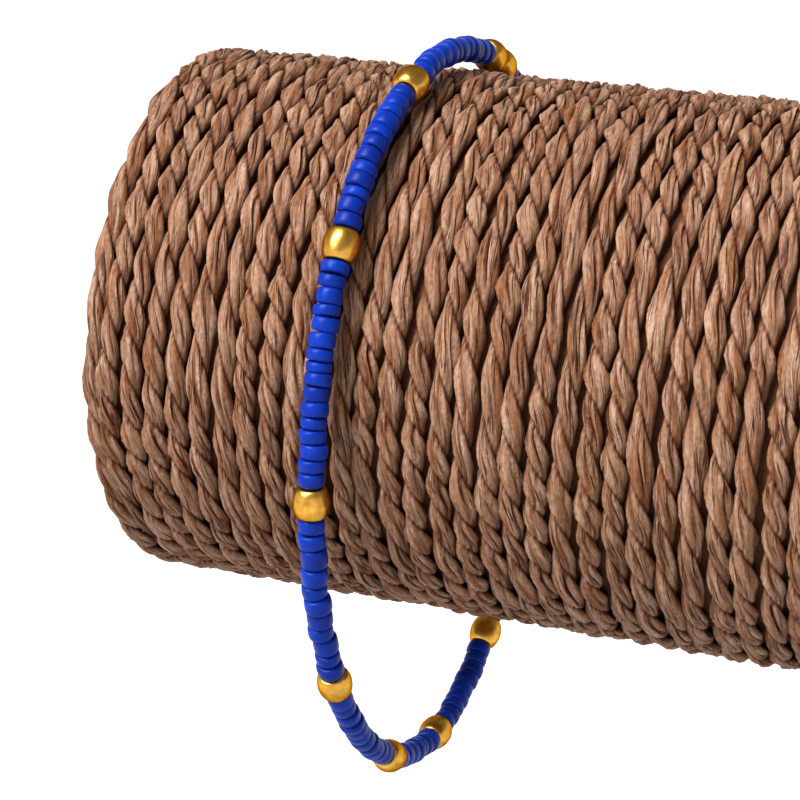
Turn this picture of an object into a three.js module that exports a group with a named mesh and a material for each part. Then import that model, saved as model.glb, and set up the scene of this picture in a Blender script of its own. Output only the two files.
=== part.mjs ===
// Beaded anklet hung over a display roll.
// Flat blue beads and gold barrel beads are strung on one elastic thread, knotted into a whole loop.
// The roll lies level along X and is held at its +X end: the origin is the centre of that end face.
// Millimetres, +Z up. The front of the loop faces -Y.

import * as THREE from 'three';

// Display roll, its radius taken over the cord that is wound on it
const ROLL_RADIUS = 31.5;
const ROLL_LENGTH = 87.5;
const ROLL_RIM_RADIUS = 1.5;
const ROLL_RIM_STEPS = 3;
const ROLL_SIDES = 48;

// Path of the thread, its heights and widths taken from the roll's axis
const LOOP_X = -57;
const LOOP_TOP = 33.7;
const LOOP_HALF_WIDTH = 35.4;
const LOOP_SIDE_LEVEL = -7.9;
const LOOP_BOTTOM = -52.9;
const LOOP_SLANT = 0.025; // drift along X for each millimetre towards the back
const LOOP_LEAN = 0.009; // and for each millimetre upwards

// How far the path keeps its direction from the end of each bend, as a share of the bend's size
const HOLD_AT_TOP = 0.6;
const HOLD_AT_SHOULDER = 0.58;
const HOLD_AT_SIDE = 0.51;
const HOLD_AT_BOTTOM = 0.53;

// Flat blue beads
const BLUE_RADIUS = 1.5;
const BLUE_NECK_RADIUS = 1.2; // where two beads meet
const BLUE_EDGE = 0.3; // width of a bead's rounded edge
const BLUE_SIDES = 10;

// Gold barrel beads
const GOLD_RADIUS = 2;
const GOLD_SHOULDER_RADIUS = 1.87;
const GOLD_END_RADIUS = 1.55;
const GOLD_LENGTH = 3.5;
const GOLD_BELLY_LENGTH = 0.8;
const GOLD_SHOULDER_LENGTH = 2.4;
const GOLD_SIDES = 12;

// Thread and the holes it runs through
const BORE_RADIUS = 0.6;
const BORE_STEP = 2; // beads between two rings of a bore
const THREAD_RADIUS = 0.35;
const THREAD_STEPS = 130;
const THREAD_SIDES = 5;

const BEAD_GAP = 0.2; // clearance between a gold bead and its neighbours
const FIRST_GOLD_DISTANCE = 9.6; // from the top of the loop to the first gold bead, along the front

// One row for each gold bead, in order from the top down the front, round the bottom and up the back:
// how many blue beads follow it and how thick they are before the string is evened out
const STRING = [
  { blues: 12, thickness: 1.62 },
  { blues: 16, thickness: 1.52 },
  { blues: 11, thickness: 1.98 },
  { blues: 11, thickness: 1.81 },
  { blues: 7, thickness: 1.64 },
  { blues: 9, thickness: 1.61 },
  { blues: 11, thickness: 1.6 },
  { blues: 12, thickness: 1.6 },
  { blues: 11, thickness: 1.6 },
  { blues: 11, thickness: 1.6 },
  { blues: 0, thickness: 0 },
  { blues: 12, thickness: 1.75 },
];

const FINISHES = {
  cord: { color: 0x9c7860, roughness: 0.85, metalness: 0 },
  blue: { color: 0x1c3fb8, roughness: 0.4, metalness: 0 },
  gold: { color: 0xd8a440, roughness: 0.28, metalness: 1 },
  elastic: { color: 0x1b2550, roughness: 0.6, metalness: 0 },
};

const anklet = new THREE.Group();

function addMesh(name, geometry, finish) {
  const mesh = new THREE.Mesh(geometry, new THREE.MeshStandardMaterial(FINISHES[finish]));
  mesh.name = name;
  anklet.add(mesh);
  return mesh;
}

function numbered(stem, index) {
  return `${stem}_${String(index + 1).padStart(2, '0')}`;
}

// The loop is four bends: top to front side, front side to bottom, and the same two at the back.
function loopPoint(y, z) {
  return new THREE.Vector3(LOOP_X + LOOP_SLANT * y + LOOP_LEAN * z, y, z);
}

function makeLoop() {
  const side = LOOP_HALF_WIDTH;
  const shoulderHold = LOOP_SIDE_LEVEL + HOLD_AT_SHOULDER * (LOOP_TOP - LOOP_SIDE_LEVEL);
  const sideHold = LOOP_SIDE_LEVEL + HOLD_AT_SIDE * (LOOP_BOTTOM - LOOP_SIDE_LEVEL);
  const bends = [-1, 1].map((facing) => ({
    upper: [
      loopPoint(0, LOOP_TOP),
      loopPoint(facing * HOLD_AT_TOP * side, LOOP_TOP),
      loopPoint(facing * side, shoulderHold),
      loopPoint(facing * side, LOOP_SIDE_LEVEL),
    ],
    lower: [
      loopPoint(facing * side, LOOP_SIDE_LEVEL),
      loopPoint(facing * side, sideHold),
      loopPoint(facing * HOLD_AT_BOTTOM * side, LOOP_BOTTOM),
      loopPoint(0, LOOP_BOTTOM),
    ],
  }));
  const [front, back] = bends;
  const path = new THREE.CurvePath();
  path.add(new THREE.CubicBezierCurve3(...front.upper));
  path.add(new THREE.CubicBezierCurve3(...front.lower));
  path.add(new THREE.CubicBezierCurve3(...back.lower.reverse()));
  path.add(new THREE.CubicBezierCurve3(...back.upper.reverse()));
  return path;
}

const loop = makeLoop();
const loopLength = loop.getLength();
const sideways = new THREE.Vector3(1, -LOOP_SLANT, -LOOP_LEAN).normalize(); // square to the loop's plane

function frameAt(distance) {
  const share = THREE.MathUtils.euclideanModulo(distance / loopLength, 1);
  const along = loop.getTangent(share);
  const inward = new THREE.Vector3().crossVectors(sideways, along);
  return { point: loop.getPoint(share), along, inward };
}

// Carries a straight lathed string, made along +Y from zero, onto the loop from a distance along it.
function bendOntoLoop(geometry, distance) {
  const positions = geometry.attributes.position;
  const vertex = new THREE.Vector3();
  for (let i = 0; i < positions.count; i += 1) {
    vertex.fromBufferAttribute(positions, i);
    const { point, inward } = frameAt(distance + vertex.y);
    point.addScaledVector(sideways, vertex.x).addScaledVector(inward, vertex.z);
    positions.setXYZ(i, point.x, point.y, point.z);
  }
  geometry.computeVertexNormals();
  return geometry;
}

// Blue beads side by side as one body: rounded edges outside, one hole through all of them.
function blueRunGeometry(blues, thickness) {
  const profile = [];
  for (let bead = 0; bead < blues; bead += 1) {
    const start = bead * thickness;
    profile.push(new THREE.Vector2(BLUE_NECK_RADIUS, start));
    profile.push(new THREE.Vector2(BLUE_RADIUS, start + BLUE_EDGE));
    profile.push(new THREE.Vector2(BLUE_RADIUS, start + thickness - BLUE_EDGE));
  }
  profile.push(new THREE.Vector2(BLUE_NECK_RADIUS, blues * thickness));
  for (let bead = blues; bead > 0; bead -= BORE_STEP) {
    profile.push(new THREE.Vector2(BORE_RADIUS, bead * thickness));
  }
  profile.push(new THREE.Vector2(BORE_RADIUS, 0));
  profile.push(profile[0].clone());
  return new THREE.LatheGeometry(profile, BLUE_SIDES);
}

// A barrel with flat ends and a hole, centred on its own middle with the hole along Y.
function goldBeadGeometry() {
  const outline = [
    [GOLD_END_RADIUS, GOLD_LENGTH],
    [GOLD_SHOULDER_RADIUS, GOLD_SHOULDER_LENGTH],
    [GOLD_RADIUS, GOLD_BELLY_LENGTH],
  ];
  const lower = outline.map(([radius, length]) => new THREE.Vector2(radius, -length / 2));
  const upper = outline.map(([radius, length]) => new THREE.Vector2(radius, length / 2)).reverse();
  const hole = [1, -1].map((end) => new THREE.Vector2(BORE_RADIUS, (end * GOLD_LENGTH) / 2));
  const profile = [...lower, ...upper, ...hole, lower[0].clone()];
  return new THREE.LatheGeometry(profile, GOLD_SIDES);
}

function addGoldBead(name, distance) {
  const { point, along, inward } = frameAt(distance);
  const mesh = addMesh(name, goldBeadGeometry(), 'gold');
  mesh.position.copy(point);
  mesh.quaternion.setFromRotationMatrix(new THREE.Matrix4().makeBasis(sideways, along, inward));
}

// Beads in order along the loop, the blue ones thinned or thickened alike so that the string closes
function addBeads() {
  const gaps = STRING.reduce((sum, { blues }) => sum + (blues > 0 ? 2 : 1) * BEAD_GAP, 0);
  const wanted = STRING.reduce((sum, { blues, thickness }) => sum + blues * thickness, 0);
  const evenness = (loopLength - gaps - STRING.length * GOLD_LENGTH) / wanted;
  let distance = FIRST_GOLD_DISTANCE;
  let runs = 0;
  STRING.forEach(({ blues, thickness }, index) => {
    addGoldBead(numbered('gold_bead', index), distance);
    distance += GOLD_LENGTH / 2 + BEAD_GAP;
    if (blues > 0) {
      const beadThickness = thickness * evenness;
      const run = blueRunGeometry(blues, beadThickness);
      addMesh(numbered('blue_run', runs), bendOntoLoop(run, distance), 'blue');
      runs += 1;
      distance += blues * beadThickness + BEAD_GAP;
    }
    distance += GOLD_LENGTH / 2;
  });
}

// Solid roll with a rounded free rim and a flat end where it is held
function addRoll() {
  const rimCentre = new THREE.Vector2(ROLL_RADIUS - ROLL_RIM_RADIUS, ROLL_RIM_RADIUS - ROLL_LENGTH);
  const profile = [new THREE.Vector2(0, -ROLL_LENGTH)];
  for (let step = 0; step <= ROLL_RIM_STEPS; step += 1) {
    const angle = (Math.PI / 2) * (step / ROLL_RIM_STEPS - 1);
    const reach = new THREE.Vector2(Math.cos(angle), Math.sin(angle)).multiplyScalar(ROLL_RIM_RADIUS);
    profile.push(rimCentre.clone().add(reach));
  }
  profile.push(new THREE.Vector2(ROLL_RADIUS, 0), new THREE.Vector2(0, 0));
  const mesh = addMesh('roll', new THREE.LatheGeometry(profile, ROLL_SIDES), 'cord');
  mesh.rotation.z = -Math.PI / 2;
}

function addThread() {
  const closed = true;
  const tube = new THREE.TubeGeometry(loop, THREAD_STEPS, THREAD_RADIUS, THREAD_SIDES, closed);
  addMesh('thread', tube, 'elastic');
}

addRoll();
addThread();
addBeads();

export default anklet;
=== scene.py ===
import math

import bmesh
import bpy
import numpy as np
from mathutils import Matrix, Vector, noise
from mathutils.geometry import interpolate_bezier


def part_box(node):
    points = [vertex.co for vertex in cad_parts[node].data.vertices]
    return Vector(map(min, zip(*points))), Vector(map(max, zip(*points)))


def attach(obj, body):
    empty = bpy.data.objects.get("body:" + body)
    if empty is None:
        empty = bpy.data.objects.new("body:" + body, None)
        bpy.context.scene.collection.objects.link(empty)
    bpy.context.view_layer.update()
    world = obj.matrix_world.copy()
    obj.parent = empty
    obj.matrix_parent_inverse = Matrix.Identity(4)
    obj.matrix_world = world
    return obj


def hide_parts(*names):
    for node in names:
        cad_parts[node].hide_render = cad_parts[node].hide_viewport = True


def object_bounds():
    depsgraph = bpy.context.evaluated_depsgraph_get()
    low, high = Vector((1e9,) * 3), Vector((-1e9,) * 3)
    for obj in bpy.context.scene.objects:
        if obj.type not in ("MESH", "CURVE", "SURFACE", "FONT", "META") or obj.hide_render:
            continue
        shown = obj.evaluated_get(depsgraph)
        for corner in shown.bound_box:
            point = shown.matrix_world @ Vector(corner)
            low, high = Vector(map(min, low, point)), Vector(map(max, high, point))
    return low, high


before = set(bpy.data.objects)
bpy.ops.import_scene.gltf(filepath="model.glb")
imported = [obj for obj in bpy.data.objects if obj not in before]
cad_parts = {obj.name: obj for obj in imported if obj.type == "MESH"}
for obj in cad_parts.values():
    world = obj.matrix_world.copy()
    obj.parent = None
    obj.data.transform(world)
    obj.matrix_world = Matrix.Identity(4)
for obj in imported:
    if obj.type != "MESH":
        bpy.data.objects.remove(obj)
cad_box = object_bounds()


# Roll core. A stiff tube of brown board, closed at each end by a disc of the same board that is glued in.
# The cord is wound over it, so only the end discs and, deep between the turns, a little of its wall show.
MM = 0.001
CORD_THICKNESS = 2.4 * MM
GLUE_DEPTH = 0.3 * MM  # how far the cord is pressed into the glue on the wall
BOARD_THICKNESS = 2.2 * MM
BOARD_EDGE = 0.35 * MM
END_STEP = 0.4 * MM  # how far the tube ends inside the last turn of cord
DISC_STEP = 0.7 * MM  # how far the free end's disc lies inside the tube
CORE_STEPS = 128
MERGE_DISTANCE = 0.0001 * MM

roll_low, roll_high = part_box("roll")
roll_radius = roll_high.z
core_radius = roll_radius - CORD_THICKNESS + GLUE_DEPTH


def turned(profile, steps, closed=False):
    """A shape turned about the X axis from points given as (place along the axis, radius)."""
    bm = bmesh.new()
    points = [bm.verts.new((along, 0, radius)) for along, radius in profile]
    pairs = list(zip(points, points[1:])) + ([(points[-1], points[0])] if closed else [])
    edges = [bm.edges.new(pair) for pair in pairs]
    bmesh.ops.spin(bm, geom=points + edges, cent=(0, 0, 0), axis=(1, 0, 0),
                   angle=2 * math.pi, steps=steps, use_merge=True)
    bmesh.ops.remove_doubles(bm, verts=bm.verts, dist=MERGE_DISTANCE)
    bmesh.ops.recalc_face_normals(bm, faces=bm.faces)
    return bm


def add_piece(name, bm, material, replaced, sharp_degrees=60):
    """Makes a finished shape a piece of the object, in place of the plain solids that it stands for."""
    mesh = bpy.data.meshes.new(name)
    bm.to_mesh(mesh)
    bm.free()
    mesh.shade_smooth()
    mesh.set_sharp_from_angle(angle=math.radians(sharp_degrees))
    mesh.materials.append(material)
    piece = bpy.data.objects.new(name, mesh)
    bpy.context.scene.collection.objects.link(piece)
    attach(piece, "root")
    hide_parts(*replaced)
    return piece


def linear(hex_colour):
    """An sRGB hex colour as the linear colour that a shader takes."""
    shares = [int(hex_colour[i:i + 2], 16) / 255 for i in (1, 3, 5)]
    return [s / 12.92 if s <= 0.04045 else ((s + 0.055) / 1.055) ** 2.4 for s in shares] + [1]


def add_node(tree, kind, values=(), links=(), **settings):
    """Adds a shader node with its settings, its socket values and the outputs linked to its sockets."""
    node = tree.nodes.new(kind)
    for setting, value in settings.items():
        setattr(node, setting, value)
    for socket, value in dict(values).items():
        node.inputs[socket].default_value = value
    for socket, output in dict(links).items():
        tree.links.new(output, node.inputs[socket])
    return node


def new_material(name, values):
    """A material with a Principled shader that has these values, with its node tree and shader."""
    material = bpy.data.materials.new(name)
    material.use_nodes = True
    shader = material.node_tree.nodes["Principled BSDF"]
    for socket, value in values.items():
        shader.inputs[socket].default_value = value
    return material, material.node_tree, shader


# Grey-brown board pressed from waste paper: matt, with soft clouds of lighter and darker pulp. Near the
# radius of its wall, which shows only deep between the turns of cord, it is painted dark: painted shade.
# The clouds are drawn as coarse as they need to be to show.
PULP_CLOUD = 0.4 * MM
PULP_GRIT = 0.08 * MM
board, tree, shader = new_material("pressed brown board", {"Roughness": 0.9, "IOR": 1.45})
place = add_node(tree, "ShaderNodeTexCoord").outputs["Object"]
pulp = add_node(tree, "ShaderNodeTexNoise", {"Scale": 1 / PULP_CLOUD, "Detail": 6}, {"Vector": place})
board_tone = add_node(tree, "ShaderNodeMix", {"A": linear("#6B4C37"), "B": linear("#A88468")},
               {"Factor": pulp.outputs["Fac"]}, data_type="RGBA")
# Painted shade: the dark colours that the board takes near its wall's radius, deep between the turns of cord
painted_gap_shade = add_node(tree, "ShaderNodeMix", {"A": linear("#200D03"), "B": linear("#6A3818")},
                 {"Factor": pulp.outputs["Fac"]}, data_type="RGBA")
across = add_node(tree, "ShaderNodeVectorMath", {1: (0, 1, 1)}, {0: place}, operation="MULTIPLY")
off_axis = add_node(tree, "ShaderNodeVectorMath", {}, {0: across.outputs["Vector"]}, operation="LENGTH")
# Painted shade mask: nothing inside the wall's bevel, full at the wall
gap_shade_mask = add_node(tree, "ShaderNodeMapRange",
                  {"From Min": core_radius - BOARD_EDGE, "From Max": core_radius},
                  {"Value": off_axis.outputs["Value"]})
tint = add_node(tree, "ShaderNodeMix", {},
                {"Factor": gap_shade_mask.outputs["Result"], "A": board_tone.outputs["Result"],
                 "B": painted_gap_shade.outputs["Result"]}, data_type="RGBA")
grit = add_node(tree, "ShaderNodeBump", {"Strength": 0.5, "Distance": PULP_GRIT},
                {"Height": pulp.outputs["Fac"]})
tree.links.new(tint.outputs["Result"], shader.inputs["Base Color"])
tree.links.new(grit.outputs["Normal"], shader.inputs["Normal"])

free_end = roll_low.x + END_STEP
held_end = roll_high.x
disc_radius = core_radius - BOARD_THICKNESS
core_profile = [
    (free_end + DISC_STEP, 0),
    (free_end + DISC_STEP, disc_radius),
    (free_end + BOARD_EDGE, disc_radius),
    (free_end, disc_radius + BOARD_EDGE),
    (free_end, core_radius - BOARD_EDGE),
    (free_end + BOARD_EDGE, core_radius),
    (held_end - BOARD_EDGE, core_radius),
    (held_end, core_radius - BOARD_EDGE),
    (held_end, 0),
]
add_piece("roll_core", turned(core_profile, CORE_STEPS), board, ["roll"], sharp_degrees=30)


# Cord on the roll. Strips of brown kraft paper are crumpled into soft plies, and two plies are twisted into
# a cord. Two cords lie side by side and are wound round the core together, and one more turn of the same
# cord is glued round each rim over their pinched ends.
CORDS = 2
PLIES = 2
ROW_PITCH = 2.79 * MM
LOBE_SPACING = 5.5 * MM  # from one ply on top of the cord to the next
PLY_WIDTH = 2.8 * MM  # where it lies on top, before its edges are blunted
PLY_DEPTH = 1.44 * MM
BLUNT_SHARE = 0.89  # of its width that a ply keeps between its blunted edges
PLY_TAPER = 0.42  # share of its width that a ply loses where the other one presses it down
PLY_THINNING = 0.2  # and of its depth
PLY_SWAY = 0.55 * MM  # either way from the middle of the cord
PLY_LAG = 0.35  # radians that a flat ply stays behind the twist where it comes up beside the other
PLY_RISE = (CORD_THICKNESS - PLY_DEPTH) / 2
WOUND_START = math.radians(165)  # of the first cord, from the top of the roll towards the front
RIM_START = math.radians(200)
RING_STEP = 0.66 * MM
OUTER_SIDES = 18  # the side of a ply that faces out of the roll has the finer mesh
INNER_SIDES = 3
OUTER_REACH = math.radians(105)
UV_LANE = 10  # millimetres between the plies on the unrolled paper

cord_width = 2 * PLY_SWAY + PLY_DEPTH * (1 - PLY_THINNING / 2)
cord_radius = roll_radius - CORD_THICKNESS / 2
girth_of_roll = 2 * math.pi * cord_radius
sides = OUTER_SIDES + INNER_SIDES
around = np.concatenate([
    np.linspace(-OUTER_REACH, OUTER_REACH, OUTER_SIDES + 1),
    np.linspace(OUTER_REACH, 2 * math.pi - OUTER_REACH, INNER_SIDES + 1)[1:],
])


def drift(along, wavelength, seed):
    """A smooth random course between -1 and 1 along a cord, which turns about once in a wavelength."""
    heights = np.random.default_rng(seed).uniform(-1, 1, int(along[-1] / wavelength) + 2)
    knot = np.minimum((along / wavelength).astype(int), len(heights) - 2)
    share = along / wavelength - knot
    share = share * share * (3 - 2 * share)
    return heights[knot] * (1 - share) + heights[knot + 1] * share


# How unevenly the cord is twisted and wound, and how far apart its changes lie along it
TWIST_CHANGE, TWIST_RUN = 0.46, 8 * MM
ROW_WANDER, ROW_RUN = 0.26 * MM, 20 * MM
HEIGHT_WANDER, HEIGHT_RUN = 0.1 * MM, 19 * MM
LUMP_SHARE, LUMP_RUN = 0.1, 3.1 * MM
HEAVY_SHARE, HEAVY_RUN = 0.13, 16 * MM  # how much paper one ply has more than the other
THINNEST, WIDEST = 0.74, 1.16  # widths of the plies between two crossings, as shares of the usual one
FLATTEST, FULLEST = 0.8, 1.15  # and their depths


def ply_path(along, place, tuck, ply, seed):
    """Where a ply lies in its cord and how large it is, at each step along the cord."""
    tightness = 1 + TWIST_CHANGE * drift(along, TWIST_RUN, seed)
    phase = np.cumsum(tightness) * math.pi * along[1] / LOBE_SPACING + 2 * math.pi * ply / PLIES
    lobe = np.floor(phase / (2 * math.pi) + 0.5).astype(int)
    turn = phase - 2 * math.pi * lobe  # 0 where the ply lies on top of the cord
    on_top = (1 + np.cos(turn)) / 2

    row = place + ROW_WANDER * drift(along, ROW_RUN, seed + 1)
    cord_height = CORD_THICKNESS / 2 + HEIGHT_WANDER * drift(along, HEIGHT_RUN, seed + 2)
    across = row - tuck * PLY_SWAY * np.sin(turn)
    above = core_radius - GLUE_DEPTH + tuck * (cord_height + PLY_RISE * np.cos(turn))

    rng = np.random.default_rng(seed + 3 + ply)
    lobes = lobe.max() + 1
    heavy = 1 + HEAVY_SHARE * drift(along, HEAVY_RUN, seed + 5) * math.cos(2 * math.pi * ply / PLIES)
    width = tuck * heavy * (1 - PLY_TAPER * (1 - on_top)) * PLY_WIDTH
    depth = tuck * heavy * (1 - PLY_THINNING * (1 - on_top)) * PLY_DEPTH
    width *= 1 + on_top * (rng.uniform(THINNEST, WIDEST, lobes)[lobe] - 1)
    depth *= 1 + on_top * (rng.uniform(FLATTEST, FULLEST, lobes)[lobe] - 1)
    return lobe, turn - PLY_LAG * np.sin(turn), across, above, width / 2, depth / 2


# Creases along the paper, drawn afresh for each stretch of a ply between two crossings
CREASES = 7
CREASE_DEPTH = 0.46 * MM
CREASE_SPREAD = 1.2  # how much rarer deep creases are than shallow ones
CREASE_REACH = math.radians(60)
CREASE_SLANT = 0.22
CREASE_WIDTHS = 0.17, 0.28  # radians round the ply
CREASE_MIDDLE = 0.7  # radians of the cord's twist, either way from the top
CREASE_LENGTHS = 0.7, 1.9
CRINKLED_SHARE = 0.3  # of the stretches that have small ripples across them
CRINKLE_DEPTH = 0.05 * MM
CRINKLE_LENGTH = 1.7 * MM
CRINKLE_SLANT = 2.2
GAP_DEPTH = 1.55 * MM  # below the crests, where hardly any light gets in
GAP_SHADE_POWER = 2  # how much darker the gaps are deep down than near the crests
CONTACT_REACH = 0.32  # width of the dark seam where two plies meet, as a share of a ply's size
CREASE_SHADE_POWER = 1.5  # how much darker deep creases are than shallow ones
DEEPEST_CREASE = 0.7  # share of the way to the middle of the ply


def crease_depth(lobe, turn, rng):
    """How far the paper is folded in at each ring and side."""
    lobes = lobe.max() + 1
    fold = np.zeros((len(lobe), sides + 1))
    for _ in range(CREASES):
        line = rng.uniform(-CREASE_REACH, CREASE_REACH, lobes)[lobe]
        line = line + rng.normal(0, CREASE_SLANT, lobes)[lobe] * turn
        width = rng.uniform(*CREASE_WIDTHS, lobes)[lobe]
        depth = CREASE_DEPTH * rng.uniform(0, 1, lobes)[lobe] ** CREASE_SPREAD
        middle = rng.uniform(-CREASE_MIDDLE, CREASE_MIDDLE, lobes)[lobe]
        length = rng.uniform(*CREASE_LENGTHS, lobes)[lobe]
        fade = np.sqrt(np.clip(1 - np.abs(turn - middle) / length, 0, 1))
        beside = np.abs(around - line[:, None]) / width[:, None]
        fold += (depth * fade)[:, None] * np.maximum(1 - beside, 0)
    return fold


# Flat faces along the paper, where it was pressed between the fingers, also drawn afresh for each stretch
FACES = 5
FACE_REACH = math.radians(55)
FACE_SLANT = 0.12
FACE_DEPTHS = 0.88, 1.02  # distances from the middle of the ply, as shares of its size there
EDGE_ON = 0.01  # least cosine to a face, so that sides that look away from it stay as they are


def pressed_flat(reach, half_width, half_depth, lobe, turn, rng):
    """How far the skin lies from the middle of the ply at each ring and side, with flat faces cut in."""
    lobes = lobe.max() + 1
    for _ in range(FACES):
        facing = rng.uniform(-FACE_REACH, FACE_REACH, lobes)[lobe][:, None]
        facing = facing + rng.normal(0, FACE_SLANT, lobes)[lobe][:, None] * turn
        size = np.hypot(half_depth * np.cos(facing + turn), half_width * np.sin(facing + turn))
        face = rng.uniform(*FACE_DEPTHS, lobes)[lobe][:, None] * size
        reach = np.minimum(reach, face / np.maximum(np.cos(around - facing), EDGE_ON))
    return reach


def ply_surface(along, angle, tuck, own, other, seed):
    """Points of a ply by ring and side, and how shaded each is by folds and neighbours, from 0 to 1."""
    lobe, *own = own
    turn, across, above, half_width, half_depth = (values[:, None] for values in own)
    rng = np.random.default_rng(seed)
    fold = crease_depth(lobe, turn[:, 0], rng)
    crinkled = rng.uniform(0, 1, lobe.max() + 1)[lobe] < CRINKLED_SHARE
    crinkle = CRINKLE_DEPTH * (crinkled[:, None] * (1 + np.cos(turn)) / 2)
    ripple = np.sin(2 * math.pi * along[:, None] / CRINKLE_LENGTH + CRINKLE_SLANT * around)
    lump = 1 + LUMP_SHARE * drift(along, LUMP_RUN, seed)[:, None] * np.sin(2 * around)
    reach = 1 / np.hypot(np.cos(around + turn) / half_depth, np.sin(around + turn) / half_width)
    reach = np.minimum(reach * lump, BLUNT_SHARE * half_width)
    reach = pressed_flat(reach, half_width, half_depth, lobe, turn, rng)
    dent = tuck[:, None] * (fold - crinkle * ripple)
    reach = reach - np.minimum(dent, DEEPEST_CREASE * reach)

    x = across + reach * np.sin(around)
    radius = above + reach * np.cos(around)
    points = np.stack([x, -radius * np.sin(angle)[:, None], radius * np.cos(angle)[:, None]], 2)

    # Painted shade: dark in the gaps between the rows, in the seam beside the other ply and in the deepest
    # creases
    turn, across, above, half_width, half_depth = (values[:, None] for values in other[1:])
    up = ((radius - above) * np.cos(turn) - (x - across) * np.sin(turn)) / half_depth
    beside = ((radius - above) * np.sin(turn) + (x - across) * np.cos(turn)) / half_width
    contact = np.clip((1 + CONTACT_REACH - np.hypot(up, beside)) / CONTACT_REACH, 0, 1)
    low = np.clip((roll_radius - radius) / GAP_DEPTH, 0, 1) ** GAP_SHADE_POWER
    crease_shade = np.clip(fold / CREASE_DEPTH, 0, 1) ** CREASE_SHADE_POWER
    return points, 1 - (1 - low) * (1 - contact) * (1 - crease_shade)


def ply_shape(points, shade, along, lane):
    """A flat grid, one square for each step of the paper's length and girth, rolled up into a ply."""
    rings = len(along) - 1
    bm = bmesh.new()
    bm.loops.layers.uv.new("paper")
    bmesh.ops.create_grid(bm, x_segments=rings, y_segments=sides, size=1, calc_uvs=True)
    flat = bpy.data.meshes.new("ply")
    bm.to_mesh(flat)
    bm.clear()
    corners = np.empty(3 * len(flat.vertices))
    flat.vertices.foreach_get("co", corners)
    share = (corners.reshape(-1, 3) + 1) / 2
    ring = np.rint(share[:, 0] * rings).astype(int)
    side = np.rint(share[:, 1] * sides).astype(int)
    flat.vertices.foreach_set("co", points[ring, side].ravel())
    shades = flat.attributes.new("shade", "FLOAT", "POINT")
    shades.data.foreach_set("value", shade[ring, side].astype(np.float32))
    paper = flat.uv_layers.active.data
    spots = np.empty(2 * len(paper))
    paper.foreach_get("uv", spots)
    spots = np.rint(spots.reshape(-1, 2) * (rings, sides)).astype(int)
    length = along[spots[:, 0]] / MM
    girth = around[spots[:, 1]] * PLY_WIDTH / 2 / MM + UV_LANE * lane
    paper.foreach_set("uv", np.stack([length, girth], 1).ravel())
    bm.from_mesh(flat)
    bpy.data.meshes.remove(flat)
    bmesh.ops.remove_doubles(bm, verts=bm.verts, dist=MERGE_DISTANCE)
    bmesh.ops.holes_fill(bm, edges=[edge for edge in bm.edges if edge.is_boundary], sides=sides)
    bmesh.ops.recalc_face_normals(bm, faces=bm.faces)
    return bm


# Kraft paper, twisted while damp: matt with a faint sheen on the crests and streaked by fibres that run
# along the ply. Painted shade draws thin dark lines in the creases and darkens the paper between the rows,
# in the seams between the plies and in the deep creases. The fibres are drawn coarser than real ones so that
# they show.
WRINKLE_DEPTH = 0.16 * MM
FURROW_DEPTH = 0.12 * MM
NAP_DEPTH = 0.06 * MM
paper, tree, shader = new_material("twisted kraft paper", {
    "Roughness": 0.6, "IOR": 1.45, "Specular IOR Level": 0.1})
unrolled = add_node(tree, "ShaderNodeUVMap", uv_map="paper").outputs["UV"]
grain = {}
for name, length, width, detail in (
        ("fibre", 0.7, 0.25, 5),  # millimetres along the ply and across it
        ("streak", 8, 1.5, 2),
        ("crease", 9, 0.5, 1),
        ("crease_patch", 7, 1.2, 2),
        ("crumple", 6, 3, 1),
        ("wrinkle", 0.45, 1.4, 2)):
    size = add_node(tree, "ShaderNodeMapping", {"Scale": (1 / length, 1 / width, 1)}, {"Vector": unrolled})
    grain[name] = add_node(tree, "ShaderNodeTexNoise", {"Scale": 1, "Detail": detail, "Roughness": 0.6},
                           {"Vector": size.outputs["Vector"]}).outputs["Fac"]
strong_fibre = add_node(tree, "ShaderNodeMapRange", {"From Min": 0.3, "From Max": 0.7},
                        {"Value": grain["fibre"]}).outputs["Result"]
strong_streak = add_node(tree, "ShaderNodeMapRange", {"From Min": 0.35, "From Max": 0.65},
                         {"Value": grain["streak"]}).outputs["Result"]
light_side = add_node(tree, "ShaderNodeMix", {"A": linear("#83553A"), "B": linear("#B19782")},
                      {"Factor": strong_fibre}, data_type="RGBA")
dark_side = add_node(tree, "ShaderNodeMix", {"A": linear("#5A3119"), "B": linear("#885A3B")},
                     {"Factor": strong_fibre}, data_type="RGBA")
crest = add_node(tree, "ShaderNodeMix", {},
                 {"Factor": strong_streak, "A": dark_side.outputs["Result"],
                  "B": light_side.outputs["Result"]}, data_type="RGBA")
# Painted shade: thin dark lines along the creases, in patches, which also give the height of the furrows
ridge = add_node(tree, "ShaderNodeMath", {1: 0.5}, {0: grain["crease"]}, operation="PINGPONG")
sharp_ridge = add_node(tree, "ShaderNodeMapRange", {"From Min": 0.455, "From Max": 0.49},
                       {"Value": ridge.outputs["Value"]}).outputs["Result"]
crease_patches = add_node(tree, "ShaderNodeMapRange", {"From Min": 0.48, "From Max": 0.6},
                   {"Value": grain["crease_patch"]}).outputs["Result"]
crease_line = add_node(tree, "ShaderNodeMath", {}, {0: sharp_ridge, 1: crease_patches},
                       operation="MULTIPLY").outputs["Value"]
crease_shade = add_node(tree, "ShaderNodeMix", {"B": linear("#40200E")},
                   {"Factor": crease_line, "A": crest.outputs["Result"]}, data_type="RGBA")
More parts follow.
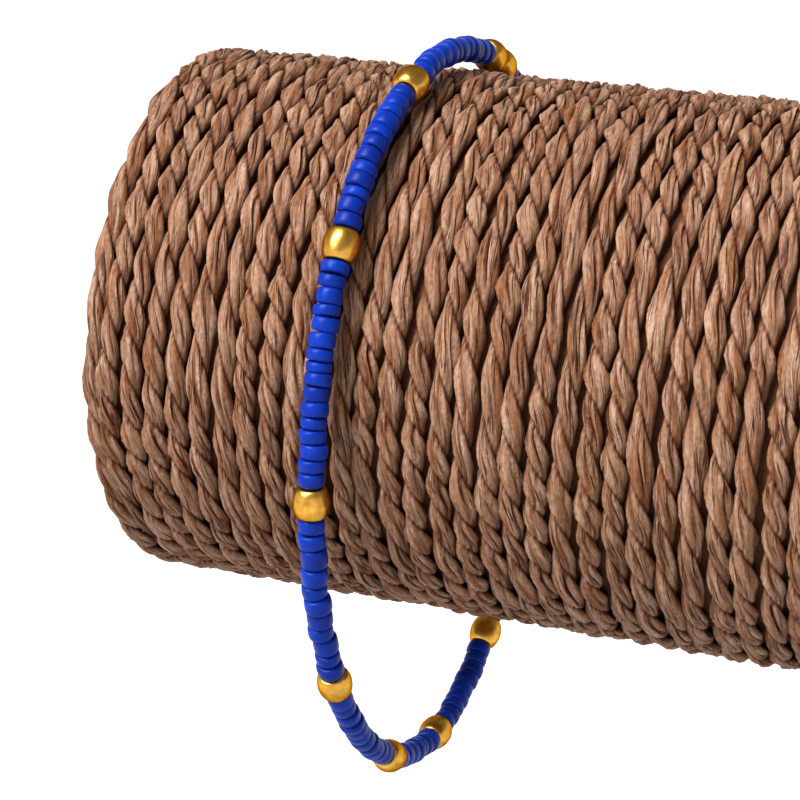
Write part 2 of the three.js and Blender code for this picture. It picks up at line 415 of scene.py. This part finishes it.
# Painted shade: the paper is mixed towards dark brown by the shade attribute, in the gaps between the rows,
# the seams between the plies and the deep creases
in_shade = add_node(tree, "ShaderNodeAttribute", attribute_name="shade").outputs["Fac"]
colour = add_node(tree, "ShaderNodeMix", {"B": linear("#401603")},
                  {"Factor": in_shade, "A": crease_shade.outputs["Result"]}, data_type="RGBA")
crumpled = add_node(tree, "ShaderNodeMapRange",
                    {"From Min": 0.4, "From Max": 0.65, "To Min": 0.3, "To Max": 1},
                    {"Value": grain["crumple"]}).outputs["Result"]
wrinkles = add_node(tree, "ShaderNodeBump", {"Distance": WRINKLE_DEPTH},
                    {"Strength": crumpled, "Height": grain["wrinkle"]})
furrows = add_node(tree, "ShaderNodeBump", {"Strength": 1, "Distance": FURROW_DEPTH},
                   {"Height": crease_line, "Normal": wrinkles.outputs["Normal"]}, invert=True)
nap = add_node(tree, "ShaderNodeBump", {"Strength": 0.8, "Distance": NAP_DEPTH},
               {"Height": grain["fibre"], "Normal": furrows.outputs["Normal"]})
tree.links.new(colour.outputs["Result"], shader.inputs["Base Color"])
tree.links.new(nap.outputs["Normal"], shader.inputs["Normal"])

PINCHED_SIZE = 0.3  # share of its size that a cord keeps at its very ends
WOUND_PINCH = 30 * MM
RIM_PINCH = 4 * MM
FIRST_ROW = 1.78 * MM  # from the end of the roll to the middle of the cord that starts there
CORD_SEEDS = 100  # seeds for chance that each cord has to itself
SURFACE_SEED = 10  # the first of them for the creases and faces of its plies


def add_cord(name, start_angle, first_place, last_place, turns, pinch, lane):
    """Winds a cord onto the core from one place along the roll to another, with both its ends pinched."""
    length = turns * girth_of_roll
    along = np.linspace(0, length, round(length / RING_STEP) + 1)
    angle = start_angle - along / cord_radius
    place = first_place + (last_place - first_place) * along / length
    tuck = np.clip(np.minimum(along, length - along) / pinch, PINCHED_SIZE, 1)
    seed = CORD_SEEDS * lane
    paths = [ply_path(along, place, tuck, ply, seed) for ply in range(PLIES)]
    for ply in range(PLIES):
        points, shade = ply_surface(along, angle, tuck, paths[ply], paths[ply - 1],
                                    seed + SURFACE_SEED + ply)
        shape = ply_shape(points, shade, along, PLIES * lane + ply)
        add_piece(f"{name}_ply_{ply + 1}", shape, paper, ["roll"])


first_row = roll_low.x + FIRST_ROW
last_row = roll_high.x - FIRST_ROW
wound_turns = (last_row - first_row) / (CORDS * ROW_PITCH)
for cord in range(CORDS):
    start_angle = WOUND_START + 2 * math.pi * cord / CORDS
    add_cord(f"wound_cord_{cord + 1}", start_angle, first_row, last_row, wound_turns, WOUND_PINCH, cord)
rim_turns = 1 + 2 * RIM_PINCH / girth_of_roll  # the pinched ends overlap
for rim, place in enumerate((roll_low.x + cord_width / 2, roll_high.x - cord_width / 2)):
    add_cord(f"rim_cord_{rim + 1}", RIM_START, place, place, rim_turns, RIM_PINCH, CORDS + rim)


# Elastic thread. One stretchy strand runs through every bead and is knotted into a loop, with the knot drawn
# into a bead. Its solid has the right shape already, so it only gets its finish here.
# Spun elastic: dark and slightly shiny, clouded by the fine fibres that it is spun from.
FIBRE_CLOUD = 0.4 * MM
elastic, tree, shader = new_material("dark spun elastic", {"Roughness": 0.5, "IOR": 1.5})
place = add_node(tree, "ShaderNodeTexCoord").outputs["Object"]
spun = add_node(tree, "ShaderNodeTexNoise", {"Scale": 1 / FIBRE_CLOUD}, {"Vector": place})
shade = add_node(tree, "ShaderNodeMix", {"A": linear("#0A1030"), "B": linear("#1B2550")},
                 {"Factor": spun.outputs["Fac"]}, data_type="RGBA")
tree.links.new(shade.outputs["Result"], shader.inputs["Base Color"])
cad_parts["thread"].data.materials.clear()
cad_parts["thread"].data.materials.append(elastic)


# Blue beads. Short rounds cut from a drawn glass tube and tumbled until their edges are soft, threaded in
# stretches between the gold ones. No two are quite alike, and each sits a little askew on the thread.
BLUE_COUNTS = (12, 16, 11, 11, 7, 9, 11, 12, 11, 11, 0, 12)  # beads after each gold bead
BLUE_THICKNESS = 1.6 * MM
GOLD_LENGTH = 3.5 * MM
BEAD_GAP = 0.2 * MM

# The thread's path, as four bends: heights and widths from the roll's axis
LOOP_X = -57 * MM
LOOP_TOP = 33.7 * MM
LOOP_HALF_WIDTH = 35.4 * MM
LOOP_SIDE_LEVEL = -7.9 * MM
LOOP_BOTTOM = -52.9 * MM
LOOP_SLANT = 0.025  # drift along X for each metre towards the back
LOOP_LEAN = 0.009  # and for each metre upwards

# How far the path keeps its direction from the end of each bend, as a share of the bend's size
HOLD_AT_TOP = 0.6
HOLD_AT_SHOULDER = 0.58
HOLD_AT_SIDE = 0.51
HOLD_AT_BOTTOM = 0.53

BEND_POINTS = 600
FORWARD_STEP = 0.1 * MM


def loop_point(y, z):
    """The point in the loop's leaning plane at this depth and height."""
    return Vector((LOOP_X + LOOP_SLANT * y + LOOP_LEAN * z, y, z))


def half_loop(facing):
    """Points from the top of the loop down one side to its bottom: the front at -1 and the back at 1."""
    side = facing * LOOP_HALF_WIDTH
    shoulder_hold = LOOP_SIDE_LEVEL + HOLD_AT_SHOULDER * (LOOP_TOP - LOOP_SIDE_LEVEL)
    side_hold = LOOP_SIDE_LEVEL + HOLD_AT_SIDE * (LOOP_BOTTOM - LOOP_SIDE_LEVEL)
    upper = interpolate_bezier(loop_point(0, LOOP_TOP), loop_point(HOLD_AT_TOP * side, LOOP_TOP),
                               loop_point(side, shoulder_hold), loop_point(side, LOOP_SIDE_LEVEL),
                               BEND_POINTS)
    lower = interpolate_bezier(loop_point(side, LOOP_SIDE_LEVEL), loop_point(side, side_hold),
                               loop_point(HOLD_AT_BOTTOM * side, LOOP_BOTTOM), loop_point(0, LOOP_BOTTOM),
                               BEND_POINTS)
    return upper + lower[1:]


path = np.array(half_loop(-1) + half_loop(1)[::-1][1:])
path_distance = np.concatenate([[0], np.cumsum(np.linalg.norm(np.diff(path, axis=0), axis=1))])
loop_length = path_distance[-1]


def on_loop(distance):
    """The place on the thread at a distance along it, with X turned to run along the thread there."""
    def spot(d):
        return Vector(np.interp(d % loop_length, path_distance, path[:, axis]) for axis in range(3))
    forward = (spot(distance + FORWARD_STEP) - spot(distance - FORWARD_STEP)).normalized()
    level = Vector((1, -LOOP_SLANT, -LOOP_LEAN)).normalized()
    along_thread = Matrix((forward, level, forward.cross(level))).transposed().to_4x4()
    return Matrix.Translation(spot(distance)) @ along_thread


gold_nodes = sorted(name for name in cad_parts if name.startswith("gold_bead"))
gold_places = [sum(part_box(name), Vector()) / 2 for name in gold_nodes]
nearest = [np.linalg.norm(path - np.array(spot), axis=1).argmin() for spot in gold_places]
gold_distances = [path_distance[step] for step in nearest]

# Profile of one bead of average size, in millimetres: soft edges, a slightly bowed rim and a drawn hole
bead_half_profile = [
    (0.7, 0.62), (0.79, 0.76), (0.8, 1.02), (0.77, 1.22), (0.69, 1.37), (0.55, 1.46), (0.2, 1.5),
]
bead_profile = [(-x, r) for x, r in bead_half_profile] + bead_half_profile[::-1]
BEAD_STEPS = 22
bead_mesh = bpy.data.meshes.new("blue bead")
bead = turned([(x * MM, r * MM) for x, r in bead_profile], BEAD_STEPS, closed=True)
bead.to_mesh(bead_mesh)
bead.free()

# How unlike the beads of a stretch are, and how loosely they sit on the thread
THICKNESS_SPREAD = 0.24  # share either way
GIRTH_CHANGES = -0.07, 0.04  # shares of the average girth
FILLED_SHARE = 0.99  # of its place on the thread that a bead fills
ASIDE_SPREAD = 0.08  # millimetres
ASKEW_SPREAD = 0.045  # radians


def blue_run(start, end, count, seed):
    """A stretch of beads from one place on the thread to another."""
    rng = np.random.default_rng(seed)
    shares = 1 + rng.uniform(-THICKNESS_SPREAD, THICKNESS_SPREAD, count)
    edges = start + (end - start) * np.concatenate([[0], np.cumsum(shares) / shares.sum()])
    bm = bmesh.new()
    tone = bm.verts.layers.float.new("tone")
    for near, far in zip(edges, edges[1:]):
        before = len(bm.verts)
        bm.from_mesh(bead_mesh)
        bm.verts.ensure_lookup_table()
        fresh = bm.verts[before:]
        girth = 1 + rng.uniform(*GIRTH_CHANGES)
        length = FILLED_SHARE * (far - near) / BLUE_THICKNESS
        aside = Matrix.Translation((0, rng.normal(0, ASIDE_SPREAD) * MM, rng.normal(0, ASIDE_SPREAD) * MM))
        swung = Matrix.Rotation(rng.normal(0, ASKEW_SPREAD), 4, "Y")
        askew = swung @ Matrix.Rotation(rng.normal(0, ASKEW_SPREAD), 4, "Z")
        turn = Matrix.Rotation(rng.uniform(0, 2 * math.pi), 4, "X")
        size = Matrix.Diagonal((length, girth, girth, 1))
        place = on_loop((near + far) / 2) @ aside @ askew @ turn @ size
        bmesh.ops.transform(bm, matrix=place, verts=fresh)
        shade = rng.uniform(0, 1)
        for vert in fresh:
            vert[tone] = shade
    return bm


# Opaque glass, tumbled to a satin: deep royal blue with a broad soft highlight, and each bead a little
# lighter or darker than the next. The tumbled pits are drawn coarser than real ones so that they show.
PIT_SIZE = 0.25 * MM
PIT_DEPTH = 0.02 * MM
CLOUD_SIZE = 1.4 * MM
satin_glass, tree, shader = new_material("satin royal blue glass", {"IOR": 1.5, "Specular IOR Level": 0.13})
place = add_node(tree, "ShaderNodeTexCoord").outputs["Object"]
pits = add_node(tree, "ShaderNodeTexNoise", {"Scale": 1 / PIT_SIZE, "Detail": 2}, {"Vector": place})
cloud = add_node(tree, "ShaderNodeTexNoise", {"Scale": 1 / CLOUD_SIZE, "Detail": 2}, {"Vector": place})
tone = add_node(tree, "ShaderNodeAttribute", attribute_name="tone").outputs["Fac"]
each = add_node(tree, "ShaderNodeMix", {"A": linear("#022788"), "B": linear("#0438B2")}, {"Factor": tone},
                data_type="RGBA")
mottled = add_node(tree, "ShaderNodeMix", {"B": linear("#021B69")},
                   {"A": each.outputs["Result"], "Factor": cloud.outputs["Fac"]}, data_type="RGBA")
gloss = add_node(tree, "ShaderNodeMapRange", {"To Min": 0.3, "To Max": 0.46},
                 {"Value": cloud.outputs["Fac"]})
skin = add_node(tree, "ShaderNodeBump", {"Strength": 0.12, "Distance": PIT_DEPTH},
                {"Height": pits.outputs["Fac"]})
tree.links.new(mottled.outputs["Result"], shader.inputs["Base Color"])
tree.links.new(gloss.outputs["Result"], shader.inputs["Roughness"])
tree.links.new(skin.outputs["Normal"], shader.inputs["Normal"])

run_index = 0
reach = GOLD_LENGTH / 2 + BEAD_GAP / 2  # from the middle of a gold bead to the blue beads beside it
for index, count in enumerate(BLUE_COUNTS):
    if count:
        run_index += 1
        following = gold_distances[(index + 1) % len(gold_distances)]
        following += loop_length if following < gold_distances[index] else 0
        run = blue_run(gold_distances[index] + reach, following - reach, count, run_index)
        name = f"blue_run_{run_index:02d}"
        add_piece(f"beads_{name}", run, satin_glass, [name])


# Gold beads. Small barrels stamped from brass, drilled, tumbled and plated, one between each two stretches
# of blue and a pair at the back of the top. Tumbling has left their sides a little uneven.
GOLD_STEPS = 40
DENT_SIZE = 1.3 * MM
DENT_DEPTH = 0.035 * MM
DENT_SHIFT = 7.3  # between the dents of one bead and the next

# Profile of a barrel, in millimetres: a drilled hole, flat ends with a soft edge, and a bowed side
gold_half_profile = [
    (1.55, 0.62), (1.7, 0.72), (1.75, 0.9), (1.75, 1.25), (1.71, 1.42), (1.6, 1.57),
    (1.44, 1.68), (1.2, 1.79), (0.9, 1.88), (0.5, 1.96), (0.12, 1.99),
]
gold_profile = [(-x, r) for x, r in gold_half_profile] + gold_half_profile[::-1]


def gold_bead(distance, seed):
    """A plated barrel on the thread, with its own shallow dents."""
    bm = turned([(x * MM, r * MM) for x, r in gold_profile], GOLD_STEPS, closed=True)
    for vert in bm.verts:
        bulge = noise.noise(vert.co / DENT_SIZE + Vector((DENT_SHIFT * seed, 0, 0)))
        vert.co += vert.normal * DENT_DEPTH * bulge
    bmesh.ops.transform(bm, matrix=on_loop(distance), verts=bm.verts)
    return bm


# Gold plate on brass: a warm mirror slightly blurred by tumbling, redder where the plate is thin. Its
# reflection is tinted a darker orange at grazing angles: a painted reflection of the brown roll beside it.
WEAR_SIZE = 0.9 * MM
plate, tree, shader = new_material("tumbled gold plate", {"Metallic": 1, "Specular Tint": linear("#A8662A")})
place = add_node(tree, "ShaderNodeTexCoord").outputs["Object"]
wear = add_node(tree, "ShaderNodeTexNoise", {"Scale": 1 / WEAR_SIZE, "Detail": 3}, {"Vector": place})
worn = add_node(tree, "ShaderNodeMapRange", {"From Min": 0.4, "From Max": 0.75},
                {"Value": wear.outputs["Fac"]})
plating = add_node(tree, "ShaderNodeMix", {"A": linear("#E5B350"), "B": linear("#C98530")},
                   {"Factor": worn.outputs["Result"]}, data_type="RGBA")
polish = add_node(tree, "ShaderNodeMapRange", {"To Min": 0.24, "To Max": 0.36},
                  {"Value": wear.outputs["Fac"]})
tree.links.new(plating.outputs["Result"], shader.inputs["Base Color"])
tree.links.new(polish.outputs["Result"], shader.inputs["Roughness"])

for index, (name, distance) in enumerate(zip(gold_nodes, gold_distances)):
    add_piece(f"plated_{name}", gold_bead(distance, index), plate, [name])


# Studio. The roll is held in the air by its end, well above a white table that glows by itself, more
# brightly away from it: painted light.
# A large soft key light stands at the upper left of the view and a weak broad fill light in front, in a pale
# room that is brightest at the horizon.
FLOOR_DROP = 400 * MM
FLOOR_SIZE = 30  # metres
TABLE_GLOW = 0.88
TABLE_GLOW_BELOW = 0.2
GLOW_NEAR, GLOW_FAR = 0.35, 0.72  # metres from the roll, between which the table's light grows
LIGHT_AIM = Vector((-50, 0, 0)) * MM
KEY_PLACE = Vector((-390, -500, 800)) * MM
KEY_SIZE = 0.45, 0.8
KEY_POWER = 24.7
FILL_PLACE = Vector((0, -900, 350)) * MM
FILL_SIZE = 1.6, 1.0
FILL_POWER = 0.7
ROOM_LIGHT = 0.24
HORIZON_LIGHT = 1.0
HORIZON_RISE, SKY_RISE = 0.14, 0.3  # heights between which the horizon's light fades, as sines

table = bmesh.new()
bmesh.ops.create_grid(table, x_segments=1, y_segments=1, size=FLOOR_SIZE / 2,
                      matrix=Matrix.Translation((0, 0, cad_box[0].z - FLOOR_DROP)))
table_mesh = bpy.data.meshes.new("table")
table.to_mesh(table_mesh)
table.free()

# Matt white board that glows by itself, dimmer beneath the roll, so that it stays white in the picture:
# painted light
white_table, tree, shader = new_material("glowing white table", {
    "Base Color": linear("#B8B8B8"), "Roughness": 0.9, "Emission Color": linear("#FFFFFF")})
place = add_node(tree, "ShaderNodeTexCoord").outputs["Object"]
flat = add_node(tree, "ShaderNodeVectorMath", {1: (1, 1, 0)}, {0: place}, operation="MULTIPLY")
away = add_node(tree, "ShaderNodeVectorMath", {}, {0: flat.outputs["Vector"]}, operation="LENGTH")
# Painted light: the table's glow grows from dim beneath the roll to full further away
glow = add_node(tree, "ShaderNodeMapRange",
                {"From Min": GLOW_NEAR, "From Max": GLOW_FAR, "To Min": TABLE_GLOW_BELOW,
                 "To Max": TABLE_GLOW},
                {"Value": away.outputs["Value"]})
tree.links.new(glow.outputs["Result"], shader.inputs["Emission Strength"])
table_mesh.materials.append(white_table)
floor = bpy.data.objects.new("table", table_mesh)
bpy.context.scene.collection.objects.link(floor)

world = bpy.data.worlds.new("pale room")
world.use_nodes = True
sky = world.node_tree.nodes["Background"]
sky.inputs["Color"].default_value = linear("#FFFFFF")
direction = add_node(world.node_tree, "ShaderNodeTexCoord").outputs["Generated"]
rise = add_node(world.node_tree, "ShaderNodeSeparateXYZ", {}, {"Vector": direction})
fade = add_node(world.node_tree, "ShaderNodeMapRange",
                {"From Min": HORIZON_RISE, "From Max": SKY_RISE, "To Min": HORIZON_LIGHT,
                 "To Max": ROOM_LIGHT},
                {"Value": rise.outputs["Z"]})
world.node_tree.links.new(fade.outputs["Result"], sky.inputs["Strength"])
bpy.context.scene.world = world

for name, spot, size, power in (("key light", KEY_PLACE, KEY_SIZE, KEY_POWER),
                                ("fill light", FILL_PLACE, FILL_SIZE, FILL_POWER)):
    panel = bpy.data.lights.new(name, "AREA")
    panel.shape = "RECTANGLE"
    panel.size, panel.size_y = size
    panel.energy = power
    lamp = bpy.data.objects.new(name, panel)
    lamp.location = spot
    lamp.rotation_euler = (LIGHT_AIM - spot).to_track_quat("-Z", "Y").to_euler()
    bpy.context.scene.collection.objects.link(lamp)
bpy.context.scene.view_settings.view_transform = "Standard"


# Camera at the photograph's angle: a long lens from the front right, a little above the roll.
CAMERA_PLACE = Vector((40.5, -254.2, 95.8)) * MM
CAMERA_AIM = Vector((-60.9, -2.8, -7.5)) * MM
FOCAL_PIXELS = 2450
IMAGE_PIXELS = 800
SENSOR_WIDTH = 36  # millimetres
camera_data = bpy.data.cameras.new("camera")
camera_data.sensor_width = SENSOR_WIDTH
camera_data.lens = SENSOR_WIDTH * FOCAL_PIXELS / IMAGE_PIXELS
camera = bpy.data.objects.new("camera", camera_data)
camera.location = CAMERA_PLACE
camera.rotation_euler = (CAMERA_AIM - CAMERA_PLACE).to_track_quat("-Z", "Y").to_euler()
bpy.context.scene.collection.objects.link(camera)
bpy.context.scene.camera = camera
